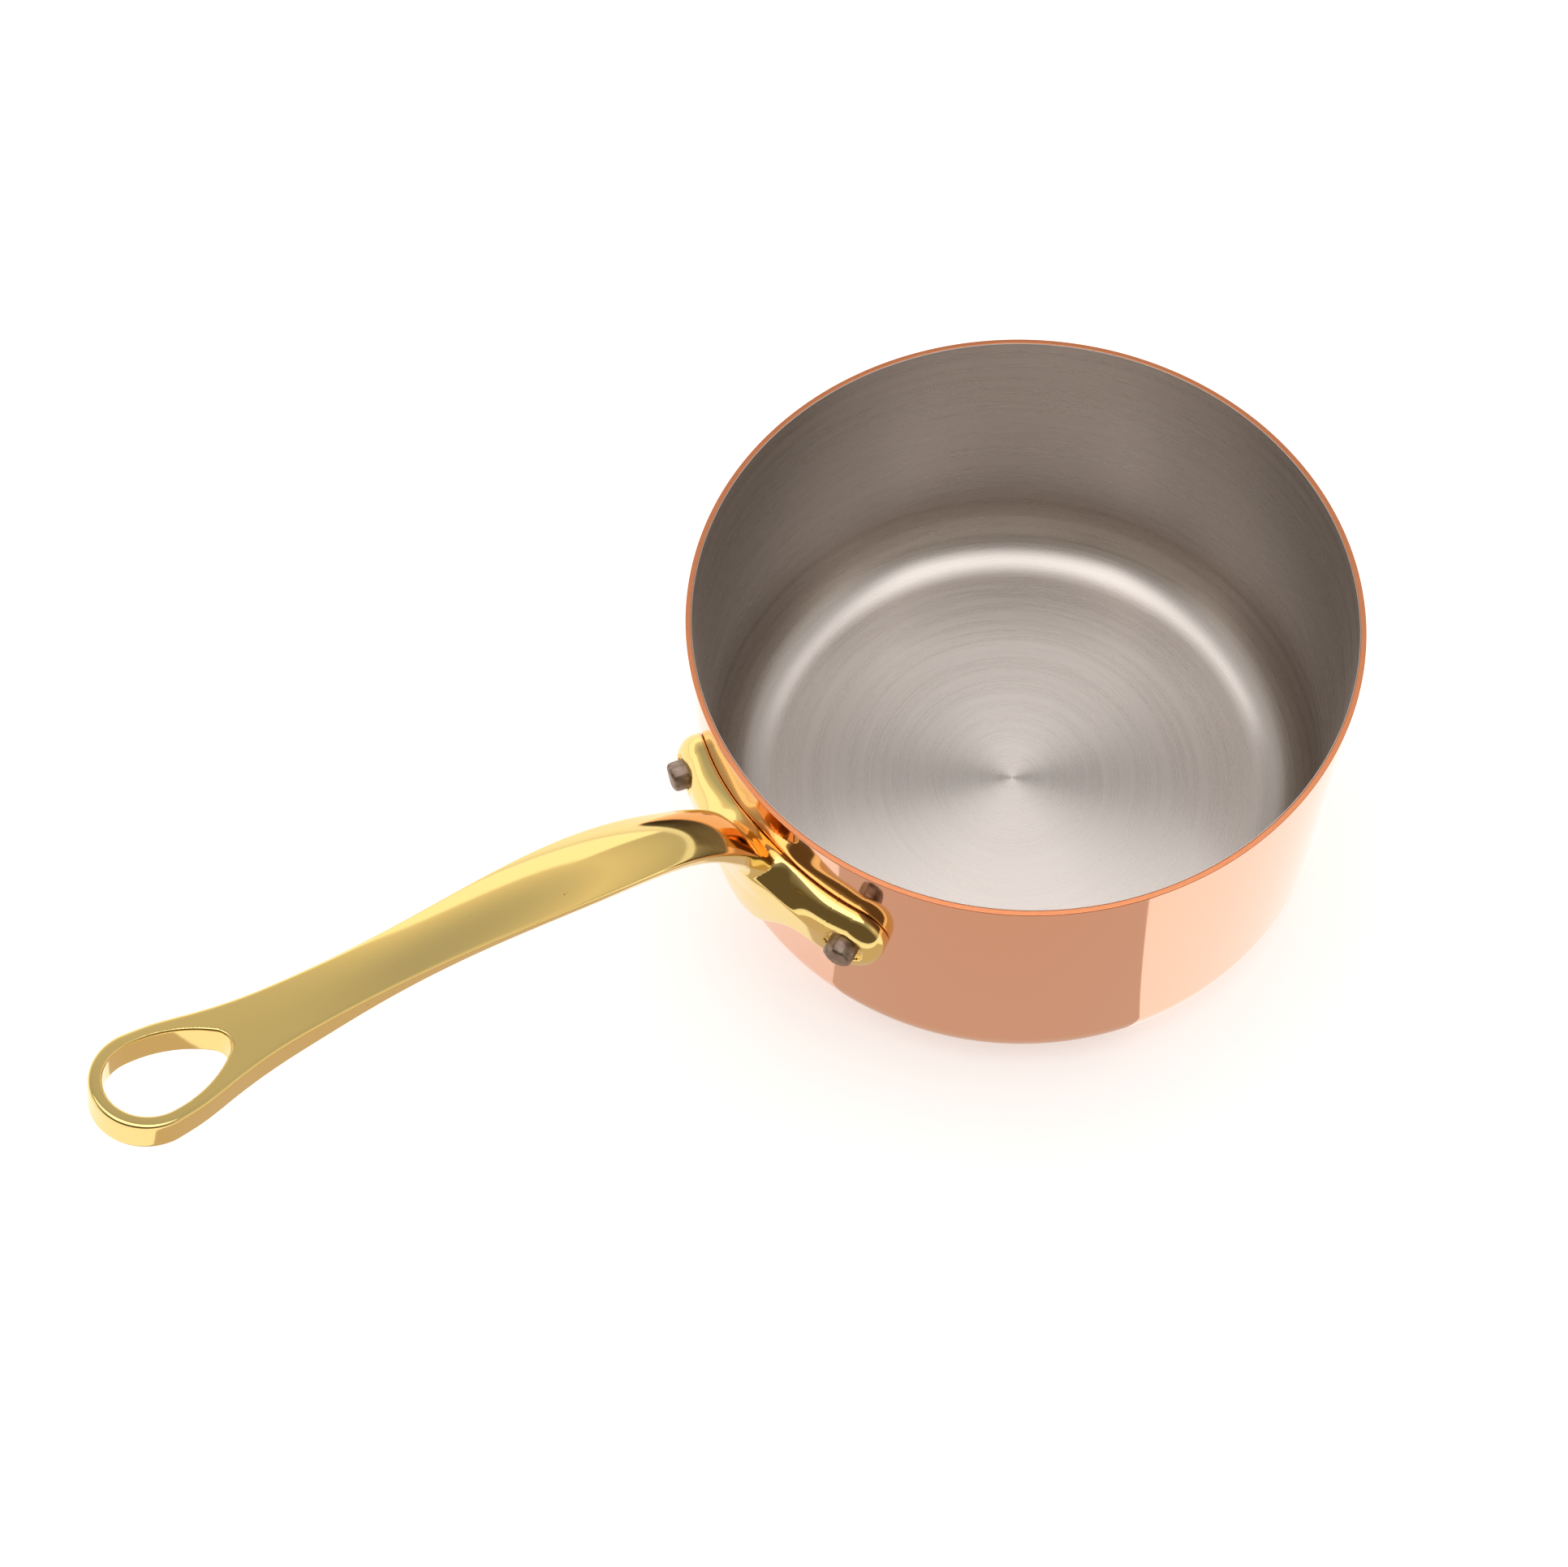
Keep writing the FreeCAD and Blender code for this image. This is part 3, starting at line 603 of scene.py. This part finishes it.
# %% Turn a rivet about its own axis
def rivet(name, side, seed, segments=96, flats=9):
    """A closed profile (distance from the pan's axis, radius) turned about the rivet's axis.

    The head is the dome inside - 1.9 (1 - (r / 7.1)^2)^0.4. The stub's radius follows a
    polygon, cos(pi / n) / cos(angle from the flat's middle), and its end is pressed in along
    a few slanted planes, (u cos a + v sin a - 1.2) depth, for hammer marks.
    """
    seat = steel_inside + 0.4
    across_head = 7.1 * np.sin(np.radians(np.linspace(180, 90, 14)))
    dome = 1.9 * np.sqrt(np.clip(1 - (across_head / 7.1) ** 2, 0, 1)) ** 0.8
    head = np.column_stack([seat - dome, across_head])
    shank = [(seat + 0.05, 6.6), (seat + 0.05, 3.5), (85.0, 3.5), (85.3, 3.66), (87.5, 3.66)]
    shoulder = arc((89.35, 2.75), 0.85, 85, 0, 8)
    tip = [(90.2, 2.2), (90.2, 1.4), (90.2, 0.7), (90.2, 0.0)]
    profile = np.vstack([head, shank, [(88.5, 3.66), (89.2, 3.62)], shoulder, tip])
    turn = np.linspace(0, 2 * np.pi, segments, endpoint=False)
    along = np.repeat(profile[:, :1], segments, axis=1)
    wedge = np.mod(turn + seed, 2 * np.pi / flats) - np.pi / flats
    polygon = np.cos(np.pi / flats) / np.cos(wedge)
    beaten = np.clip((along - 86.0) / 2.0, 0, 1)
    radius = profile[:, 1:] * (1 - 0.75 * beaten * (1 - polygon))
    u, v = radius * np.cos(turn), radius * np.sin(turn)
    rng = np.random.default_rng(int(seed * 10))
    press = np.zeros_like(along)
    for angle, depth in zip(rng.uniform(0, 2 * np.pi, 5), rng.uniform(0.10, 0.22, 5)):
        press = np.maximum(press, (u * np.cos(angle) + v * np.sin(angle) - 1.2) * depth)
    along = along - press * np.clip((along - 88.5) / 1.0, 0, 1)
    angle = side * RIVET_TURN
    out = np.array([math.sin(angle), -math.cos(angle), 0])
    across = np.array([math.cos(angle), math.sin(angle), 0])
    grid = along[..., None] * out + u[..., None] * across + v[..., None] * (0, 0, 1)
    return grid_piece(name, grid + (0, 0, RIVET_LEVEL), around=False)


# %% Set both rivets
rivet_pieces = {
    "left": rivet("rivet_stub_left", -1, 0.4),
    "right": rivet("rivet_stub_right", 1, 1.7),
}
for piece in rivet_pieces.values():
    describe(piece)

# %% [markdown]
# ## Materials
# All parts are bare metal, so their colour is the colour of what they reflect, times the
# metal's own tint. What tells one finish from another is the roughness and the marks left
# by polishing, brushing, casting or beating. Patterns are drawn in the pieces' own metres,
# so each scale is worked out from the size of a real mark.


# %% Colours
def linear(code, alpha=1.0):
    """An sRGB hex colour as linear light: ((c + 0.055) / 1.055)^2.4 above the toe."""
    parts = [int(code[k : k + 2], 16) / 255 for k in (1, 3, 5)]
    return [c / 12.92 if c <= 0.04045 else ((c + 0.055) / 1.055) ** 2.4 for c in parts] + [alpha]


# %% Nodes
def add(tree, kind, inputs=None, out=0, **settings):
    """Adds a node and gives its output named or numbered out, or the node if out is None.

    settings are the node's attributes, and inputs has a value or another node's output for
    each socket to set.
    """
    made = tree.nodes.new(kind)
    for key, value in settings.items():
        setattr(made, key, value)
    for socket, value in (inputs or {}).items():
        if isinstance(value, bpy.types.NodeSocket):
            tree.links.new(value, made.inputs[socket])
        else:
            made.inputs[socket].default_value = value
    return made if out is None else made.outputs[out]


def new_material(name):
    """An empty node material and its tree."""
    made = bpy.data.materials.new(name)
    made.use_nodes = True
    made.node_tree.nodes.clear()
    return made, made.node_tree


# %% Pattern scales
def every(size):
    """How often a pattern of size mm repeats in a metre."""
    return 1 / (size * MM)


print("a mark every 0.5 mm has the scale", every(0.5))

# %% [markdown]
# ## Marks that run round the axis
# Turning and brushing leave marks in circles. A pattern does that when it changes fast along
# the section, by distance from the axis plus height, and slowly with the direction from the
# axis. How far it moves in one turn sets how long the marks are.


# %% Coordinates for marks in circles
def turned(tree, place, drift):
    """(drift cos a, drift sin a, r + z) for a point at angle a, distance r and height z."""
    height = add(tree, "ShaderNodeSeparateXYZ", {0: place}, out="Z")
    flat = {0: place, 1: (1.0, 1.0, 0.0)}
    flat = add(tree, "ShaderNodeVectorMath", flat, operation="MULTIPLY")
    away = add(tree, "ShaderNodeVectorMath", {0: flat}, out="Value", operation="LENGTH")
    around = add(tree, "ShaderNodeVectorMath", {0: flat}, operation="NORMALIZE")
    slow = {0: around, "Scale": drift}
    slow = add(tree, "ShaderNodeVectorMath", slow, operation="SCALE")
    slow = add(tree, "ShaderNodeSeparateXYZ", {0: slow}, out=None).outputs
    along = add(tree, "ShaderNodeMath", {0: away, 1: height}, operation="ADD")
    return add(tree, "ShaderNodeCombineXYZ", {"X": slow["X"], "Y": slow["Y"], "Z": along})


# %% [markdown]
# ## Mirror-polished copper
# The wall is a warm mirror. Hand polishing leaves faint clouds, about 17 mm wide, that make
# the mirror a little softer here and there. The rim was cut on a lathe and left bare: it is
# redder and duller, with fine lines. They are drawn 0.3 mm apart, coarser than the real cut,
# because finer ones would not show.


# %% Copper
def polished_copper():
    """Copper: a mirror on the wall, and a turned edge from 0.22 mm under the top."""
    material, tree = new_material("mirror_polished_copper")
    place = add(tree, "ShaderNodeTexCoord", out="Object")
    height = add(tree, "ShaderNodeSeparateXYZ", {0: place}, out="Z")
    edge = {"From Min": (PAN_HEIGHT - 0.22) * MM, "From Max": (PAN_HEIGHT - 0.1) * MM}
    rim = add(tree, "ShaderNodeMapRange", {"Value": height, **edge})
    cloud = {"Vector": place, "Scale": every(16.667), "Detail": 4.0}
    cloud = add(tree, "ShaderNodeTexNoise", cloud)
    lathe = {"Vector": turned(tree, place, 0.02), "Scale": every(0.2857), "Detail": 2.0}
    lathe = add(tree, "ShaderNodeTexNoise", lathe)
    tints = {0: rim, 6: linear("#f3bc9c"), 7: linear("#da8c62")}
    tint = add(tree, "ShaderNodeMix", tints, out=2, data_type="RGBA")
    # the wall's roughness follows the clouds, the rim's the lines
    smooth = add(tree, "ShaderNodeMapRange", {"Value": cloud, "To Min": 0.035, "To Max": 0.08})
    cut = add(tree, "ShaderNodeMapRange", {"Value": lathe, "To Min": 0.22, "To Max": 0.42})
    rough = add(tree, "ShaderNodeMix", {0: rim, 2: smooth, 3: cut})
    depth = add(tree, "ShaderNodeMapRange", {"Value": rim, "To Min": 0.01, "To Max": 0.35})
    lines = {"Height": lathe, "Strength": depth, "Distance": 0.00003}
    lines = add(tree, "ShaderNodeBump", lines)
    shader = {"Base Color": tint, "Metallic": 1.0, "Roughness": rough, "Normal": lines}
    shader = add(tree, "ShaderNodeBsdfPrincipled", shader)
    add(tree, "ShaderNodeOutputMaterial", {"Surface": shader}, out=None)
    return material


copper = polished_copper()
print(copper.name, "with", len(copper.node_tree.nodes), "nodes")

# %% [markdown]
# ## Circular brushed stainless steel
# The inside was brushed in circles. The marks spread every highlight at right angles to
# themselves, so a lamp shows as a fan on the floor and as a bright ring on the bottom bend.
# Single marks are drawn 0.3 mm apart, coarser than the real ones, because finer ones would
# not show, with bands of 3 mm where the pad pressed harder.


# %% Brushed steel
def brushed_steel():
    """Stainless steel whose shine spreads across the brush marks."""
    material, tree = new_material("circular_brushed_stainless_steel")
    place = add(tree, "ShaderNodeTexCoord", out="Object")
    marks = turned(tree, place, 0.0005)
    fine = {"Vector": marks, "Scale": every(0.3125), "Detail": 3.0, "Roughness": 0.7}
    fine = add(tree, "ShaderNodeTexNoise", fine)
    broad = {"Vector": marks, "Scale": every(3.125), "Detail": 3.0}
    broad = add(tree, "ShaderNodeTexNoise", broad)
    both = add(tree, "ShaderNodeMath", {0: fine, 1: broad}, operation="ADD")
    span = {"Value": both, "From Min": 0.6, "From Max": 1.4}
    share = add(tree, "ShaderNodeMapRange", span)
    tints = {0: share, 6: linear("#cfc6c0"), 7: linear("#dad2cc")}
    tint = add(tree, "ShaderNodeMix", tints, out=2, data_type="RGBA")
    rough = add(tree, "ShaderNodeMapRange", {**span, "To Min": 0.24, "To Max": 0.32})
    grain = {"Height": both, "Strength": 0.10, "Distance": 0.00002}
    grain = add(tree, "ShaderNodeBump", grain)
    # the tangent runs up the section, so the shine spreads that way
    way = add(tree, "ShaderNodeTangent", direction_type="UV_MAP", uv_map="brushing")
    shader = {"Base Color": tint, "Metallic": 1.0, "Roughness": rough, "Normal": grain}
    shader = {**shader, "Anisotropic": 0.85, "Tangent": way}
    shader = add(tree, "ShaderNodeBsdfPrincipled", shader)
    add(tree, "ShaderNodeOutputMaterial", {"Surface": shader}, out=None)
    return material


steel = brushed_steel()
print(steel.name, "with", len(steel.node_tree.nodes), "nodes")

# %% [markdown]
# ## Polished cast brass
# The casting is polished to a yellow mirror, but a wheel never leaves it quite flat: waves
# about 6 mm long make the reflections swim, and the polish varies over 11 mm. Sand in the
# mould leaves a few dull pits, 0.3 to 0.6 mm across.


# %% Brass
def cast_brass():
    """Yellow brass, polished bright, with small pits left by the mould."""
    material, tree = new_material("polished_cast_brass")
    place = add(tree, "ShaderNodeTexCoord", out="Object")
    cloud = {"Vector": place, "Scale": every(11.111), "Detail": 5.0}
    cloud = add(tree, "ShaderNodeTexNoise", cloud)
    waves = {"Vector": place, "Scale": every(6.25), "Detail": 2.0}
    waves = add(tree, "ShaderNodeTexNoise", waves)
    # a pit is the middle of a cell 2.4 mm wide, kept only where slower noise is high
    cells = add(tree, "ShaderNodeTexVoronoi", {"Vector": place, "Scale": every(2.381)})
    pit = {"Value": cells, "From Min": 0.02, "From Max": 0.12, "To Min": 1.0, "To Max": 0.0}
    pit = add(tree, "ShaderNodeMapRange", pit)
    speck = {"Vector": place, "Scale": every(1.4286), "Detail": 1.0}
    speck = add(tree, "ShaderNodeTexNoise", speck)
    kept = add(tree, "ShaderNodeMapRange", {"Value": speck, "From Min": 0.62, "From Max": 0.72})
    mark = add(tree, "ShaderNodeMath", {0: pit, 1: kept}, operation="MULTIPLY")
    tints = {0: mark, 6: linear("#f0d488"), 7: linear("#b58a3c")}
    tint = add(tree, "ShaderNodeMix", tints, out=2, data_type="RGBA")
    rough = add(tree, "ShaderNodeMapRange", {"Value": cloud, "To Min": 0.05, "To Max": 0.12})
    height = {0: mark, 1: -1.5, 2: waves}
    height = add(tree, "ShaderNodeMath", height, operation="MULTIPLY_ADD")
    skin = {"Height": height, "Strength": 0.10, "Distance": 0.0001}
    skin = add(tree, "ShaderNodeBump", skin)
    shader = {"Base Color": tint, "Metallic": 1.0, "Roughness": rough, "Normal": skin}
    shader = add(tree, "ShaderNodeBsdfPrincipled", shader)
    add(tree, "ShaderNodeOutputMaterial", {"Surface": shader}, out=None)
    return material


brass = cast_brass()
print(brass.name, "with", len(brass.node_tree.nodes), "nodes")

# %% [markdown]
# ## Beaten rivet steel
# The stubs were hammered cold and never polished. They are dark, brownish and dull, with
# stains about 2 mm wide and small dents about 1.4 mm apart, which break up every highlight.


# %% Rivet metal
def beaten_steel():
    """Dull hammered steel with brown stains."""
    material, tree = new_material("beaten_rivet_steel")
    place = add(tree, "ShaderNodeTexCoord", out="Object")
    stain = {"Vector": place, "Scale": every(2.2222), "Detail": 5.0}
    stain = add(tree, "ShaderNodeTexNoise", stain)
    dents = {"Vector": place, "Scale": every(1.4286)}
    dents = add(tree, "ShaderNodeTexVoronoi", dents, feature="SMOOTH_F1")
    share = add(tree, "ShaderNodeMapRange", {"Value": stain, "From Min": 0.35, "From Max": 0.65})
    tints = {0: share, 6: linear("#7c6656"), 7: linear("#a8978a")}
    tint = add(tree, "ShaderNodeMix", tints, out=2, data_type="RGBA")
    rough = add(tree, "ShaderNodeMapRange", {"Value": stain, "To Min": 0.3, "To Max": 0.6})
    height = add(tree, "ShaderNodeMath", {0: dents, 1: stain}, operation="ADD")
    blows = {"Height": height, "Strength": 0.5, "Distance": 0.0002}
    blows = add(tree, "ShaderNodeBump", blows)
    shader = {"Base Color": tint, "Metallic": 1.0, "Roughness": rough, "Normal": blows}
    shader = add(tree, "ShaderNodeBsdfPrincipled", shader)
    add(tree, "ShaderNodeOutputMaterial", {"Surface": shader}, out=None)
    return material


rivet_metal = beaten_steel()
print(rivet_metal.name, "with", len(rivet_metal.node_tree.nodes), "nodes")

# %% [markdown]
# ## Fasten the pieces to the model
# Each piece takes its finish and rides on the pan's one body, and the solid of the working
# model that it stands for is hidden.

# %% Give each piece its finish and hide the solid it stands for
for piece, node_name, slot, material in (
    (copper_cup, "copper_shell", "copper", copper),
    (steel_lining_skin, "steel_lining", "lining_steel", steel),
    (handle_piece, "handle", "cast_brass", brass),
    (rivet_pieces["left"], "rivet_left", "rivet_steel", rivet_metal),
    (rivet_pieces["right"], "rivet_right", "rivet_steel", rivet_metal),
):
    piece.data.materials.clear()
    piece.data.materials.append(material)
    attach(piece, "root")
    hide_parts(node_name)

# %% [markdown]
# ## The floor
# The pan stands on a plain white sweep. It glows a little besides catching light, so that it
# stays white up to the pan's foot.


# %% Floor
def flat_card(name, corners_m, colour, strength=0.0, pale=0.0):
    """A flat panel through corners given in metres: diffuse by pale, glowing by strength."""
    mesh = bpy.data.meshes.new(name)
    mesh.from_pydata([tuple(c) for c in corners_m], [], [list(range(len(corners_m)))])
    panel = bpy.data.objects.new(name, mesh)
    bpy.context.scene.collection.objects.link(panel)
    material, tree = new_material(name + "_surface")
    shade = add(tree, "ShaderNodeBsdfDiffuse", {"Color": [pale, pale, pale, 1.0]})
    light = add(tree, "ShaderNodeEmission", {"Color": linear(colour), "Strength": strength})
    both = add(tree, "ShaderNodeAddShader", {0: shade, 1: light})
    add(tree, "ShaderNodeOutputMaterial", {"Surface": both}, out=None)
    mesh.materials.append(material)
    return panel


REACH = 8
floor_corners = [(x * REACH, y * REACH, 0) for x, y in ((-1, -1), (1, -1), (1, 1), (-1, 1))]
flat_card("studio_floor", floor_corners, "#ffffff", 0.52, 0.90)
print("floor %d m wide" % (2 * REACH))

# %% [markdown]
# ## Cards that only the polish sees
# A polished wall shows the table in front of it. A studio lays paper there to give the
# metal a dim middle between two pale sides with straight edges. The cards here do that,
# and they show in reflections only.

# %% Where the viewer stands
EYE = Vector((0.21785, -0.22103, 0.57675))


# %% Shape of a card
def table_card(left, right, level, reach=0.25, foot=64.0):
    """Corners of a card seen in the wall between the angles left and right round the pan.

    Each edge leaves the wall at its angle and runs the way a line of sight d is thrown by
    the wall's normal n there: along d - 2 (d . n) n. The card starts foot mm from the axis
    and lies level mm over the table.
    """
    edge = []
    for angle in np.radians([left, right]):
        normal = np.array([math.cos(angle), math.sin(angle)])
        wall = normal * PAN_RADIUS * MM
        ray = (wall - EYE[:2]) / np.linalg.norm(wall - EYE[:2])
        edge.append(wall + (ray - 2 * (ray @ normal) * normal) * reach)
    turn = np.radians(np.linspace(left, right, 24))
    inner = np.column_stack([np.cos(turn), np.sin(turn)]) * foot * MM
    way = [math.degrees(math.atan2(y, x)) for x, y in edge[::-1]]
    outer = np.radians(np.linspace(way[0], way[1], 24))
    rim = np.column_stack([np.cos(outer), np.sin(outer)]) * np.linalg.norm(edge[1])
    return [(x, y, level * MM) for x, y in np.vstack([inner, rim])]


# %% Lay the cards
for card_name, left, right, level, colour, strength in (
    ("front_shade", -70.5, -24.0, 0.4, "#d6c3b4", 1.0),
    ("right_pale", -24.0, 28.0, 0.2, "#fffaf6", 1.2),
    ("left_pale", -118.0, -70.5, 0.2, "#fffaf6", 1.2),
):
    card = flat_card(card_name, table_card(left, right, level), colour, strength)
    card.visible_camera = card.visible_diffuse = card.visible_shadow = False
    card.visible_transmission = card.visible_volume_scatter = False
    print("%s: %d to %d degrees round the pan" % (card_name, left, right))

# %% [markdown]
# ## The studio around
# The walls are pale near the table and dimmer above. A bright panel stands behind the
# handle, low down, and the side the viewer stands on is dark. The grip's crown, tail and
# ledge each turn to another of these, which is what shows their shape.

# %% Pale walls, dimmer above
world = bpy.data.worlds.new("soft_studio")
bpy.context.scene.world = world
world.use_nodes = True
sky = world.node_tree
sky.nodes.clear()
toward = add(sky, "ShaderNodeTexCoord", out="Generated")
toward = add(sky, "ShaderNodeSeparateXYZ", {0: toward}, out=None).outputs
ramp = add(sky, "ShaderNodeValToRGB", {"Fac": toward["Z"]}, out=None)
stops = ramp.color_ramp.elements
stops[0].position, stops[0].color = 0.05, (0.62, 0.58, 0.50, 1)
stops[1].position, stops[1].color = 1.0, (0.40, 0.39, 0.38, 1)
for height, shade in ((0.42, (0.88, 0.80, 0.69, 1)), (0.75, (0.50, 0.49, 0.48, 1))):
    stops.new(height).color = shade
print("walls with", len(stops), "shades between table and ceiling")

# %% The bright panel
behind = {"Value": toward["X"], "From Min": -0.41, "From Max": -0.45}
behind = add(sky, "ShaderNodeMapRange", behind)
low = {"Value": toward["Z"], "From Min": 0.42, "From Max": 0.36}
low = add(sky, "ShaderNodeMapRange", low)
bright = add(sky, "ShaderNodeMath", {0: behind, 1: low}, operation="MULTIPLY")
walls = {0: bright, 6: ramp.outputs["Color"], 7: (1.35, 1.31, 1.24, 1.0)}
walls = add(sky, "ShaderNodeMix", walls, out=2, data_type="RGBA")

# %% The dark side
facing = {0: toward["X"], 1: toward["Y"]}
facing = add(sky, "ShaderNodeMath", facing, operation="SUBTRACT")
dark = add(sky, "ShaderNodeMapRange", {"Value": facing, "From Min": 0.35, "From Max": 0.80})
walls = {0: dark, 6: walls, 7: (0.14, 0.11, 0.08, 1.0)}
walls = add(sky, "ShaderNodeMix", walls, out=2, data_type="RGBA")
glow = add(sky, "ShaderNodeBackground", {"Color": walls, "Strength": 1.0})
add(sky, "ShaderNodeOutputWorld", {"Surface": glow}, out=None)

# %% [markdown]
# ## The lamp
# One large soft box hangs 1.6 m over the pan. Its size gives soft shadows, and its place
# keeps its mirror image off the floor of the pan.

# %% Soft box overhead
lamp = bpy.data.lights.new("overhead_box", "AREA")
lamp.shape, lamp.size, lamp.size_y = "RECTANGLE", 1.3, 1.3
lamp.energy = 8.5
box = bpy.data.objects.new("overhead_box", lamp)
bpy.context.scene.collection.objects.link(box)
box.location = (-0.05, 0.04, 1.6)
box.rotation_mode = "QUATERNION"
box.rotation_quaternion = (-box.location).to_track_quat("-Z", "Y")
box.visible_camera = False
print("soft box %.1f m wide, %.1f m up" % (lamp.size, box.location.z))

# %% [markdown]
# ## The camera
# A long lens looks down at the pan from beside the handle, about 60 degrees above the table.
# The small shift only sets where the pan lies in the frame.

# %% Camera
LOOK = Vector((-0.4165, 0.3240, -0.8494)).normalized()
SIDE = Vector((0.6413, 0.7670, -0.0219)).normalized()
lens = bpy.data.cameras.new("studio_camera")
lens.sensor_width, lens.lens = 36.0, 56.35
lens.shift_x, lens.shift_y = -0.0435, -0.1012
lens.clip_start, lens.clip_end = 0.01, 50.0
camera = bpy.data.objects.new("studio_camera", lens)
bpy.context.scene.collection.objects.link(camera)
turn = Matrix((SIDE, SIDE.cross(LOOK), -LOOK)).transposed()
camera.matrix_world = Matrix.Translation(EYE) @ turn.to_4x4()
bpy.context.scene.camera = camera
bpy.context.scene.view_settings.view_transform = "Standard"
print("camera %.2f m from the pan's foot" % EYE.length)
